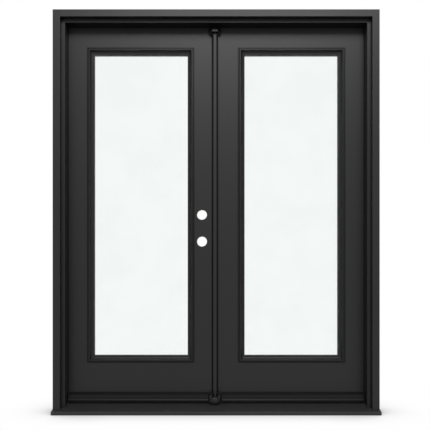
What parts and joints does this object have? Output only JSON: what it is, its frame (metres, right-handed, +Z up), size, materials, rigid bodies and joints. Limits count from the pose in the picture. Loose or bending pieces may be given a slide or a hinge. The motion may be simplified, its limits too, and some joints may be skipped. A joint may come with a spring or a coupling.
{
  "type": "steel double entry door with frame",
  "caption": "Inward opening steel double entry door in its frame, with full height glazing, astragal, brick mould, sill and lock holes.",
  "frame": {"origin": "middle of the sill's underside, in the plane of the wall's outer face", "axes": "+X to the right seen from outdoors, +Y indoors, +Z up"},
  "size_m": [1.711, 0.1792, 2.108],
  "materials": {
    "painted_steel": "matt black paint on steel",
    "moulded_frame": "matt black moulding",
    "glass": "clear float glass",
    "spacer_metal": "dark satin",
    "foam": "rigid foam",
    "timber": "planed softwood",
    "painted_timber": "matt black paint on timber",
    "composite": "matt black composite",
    "coated_aluminium": "matt black coating on aluminium",
    "black_rubber": "matt black rubber",
    "dark_steel": "black coated steel"
  },
  "bodies": {
    "frame": {"astragal_head_block": "black_rubber", "astragal_sill_block": "black_rubber", "bolt_strike_plate": "dark_steel", "brickmould_head": "painted_timber", "brickmould_left": "painted_timber", "brickmould_right": "painted_timber", "hinge_pins_left": "dark_steel", "hinge_pins_right": "dark_steel", "hinge_plates_jamb_left": "dark_steel", "hinge_plates_jamb_right": "dark_steel", "jamb_head": "painted_timber", "jamb_head_stop": "painted_timber", "jamb_left": "painted_timber", "jamb_right": "painted_timber", "sill_core": "composite", "sill_tread": "coated_aluminium", "threshold_adjusters": "dark_steel", "threshold_cap": "composite", "weatherstrip_head": "black_rubber", "weatherstrip_left": "black_rubber", "weatherstrip_right": "black_rubber"},
    "active_leaf": {"active_bottom_rail": "timber", "active_core": "foam", "active_drip_cap": "coated_aluminium", "active_glass_spacer": "spacer_metal", "active_hinge_stile": "timber", "active_lite_frame_inner": "moulded_frame", "active_lite_frame_outer": "moulded_frame", "active_lock_block": "timber", "active_lock_stile": "timber", "active_pane_inner": "glass", "active_pane_outer": "glass", "active_skin_inner": "painted_steel", "active_skin_outer": "painted_steel", "active_sweep": "black_rubber", "active_top_rail": "timber", "hinge_plates_active_leaf": "dark_steel"},
    "inactive_leaf": {"astragal_body": "coated_aluminium", "astragal_cover": "coated_aluminium", "astragal_seal": "black_rubber", "hinge_plates_inactive_leaf": "dark_steel", "inactive_bottom_rail": "timber", "inactive_core": "foam", "inactive_drip_cap": "coated_aluminium", "inactive_glass_spacer": "spacer_metal", "inactive_hinge_stile": "timber", "inactive_lite_frame_inner": "moulded_frame", "inactive_lite_frame_outer": "moulded_frame", "inactive_lock_stile": "timber", "inactive_pane_inner": "glass", "inactive_pane_outer": "glass", "inactive_skin_inner": "painted_steel", "inactive_skin_outer": "painted_steel", "inactive_sweep": "black_rubber", "inactive_top_rail": "timber"},
    "top_bolt": {"flush_bolt_top": "dark_steel"},
    "bottom_bolt": {"flush_bolt_bottom": "dark_steel"}
  },
  "joints": [
    {"name": "active_swing", "type": "hinge", "parent": "frame", "child": "active_leaf", "pos_m": [-0.8051, 0.12275, 1.1], "axis": [0, 0, 1], "range_deg": [0, 120]},
    {"name": "inactive_swing", "type": "hinge", "parent": "frame", "child": "inactive_leaf", "pos_m": [0.8051, 0.12275, 1.1], "axis": [0, 0, -1], "range_deg": [0, 120]},
    {"name": "top_bolt_slide", "type": "slide", "parent": "inactive_leaf", "child": "top_bolt", "axis": [0, 0, 1], "range_m": [0, 0.019]},
    {"name": "bottom_bolt_slide", "type": "slide", "parent": "inactive_leaf", "child": "bottom_bolt", "axis": [0, 0, -1], "range_m": [0, 0.019]}
  ]
}
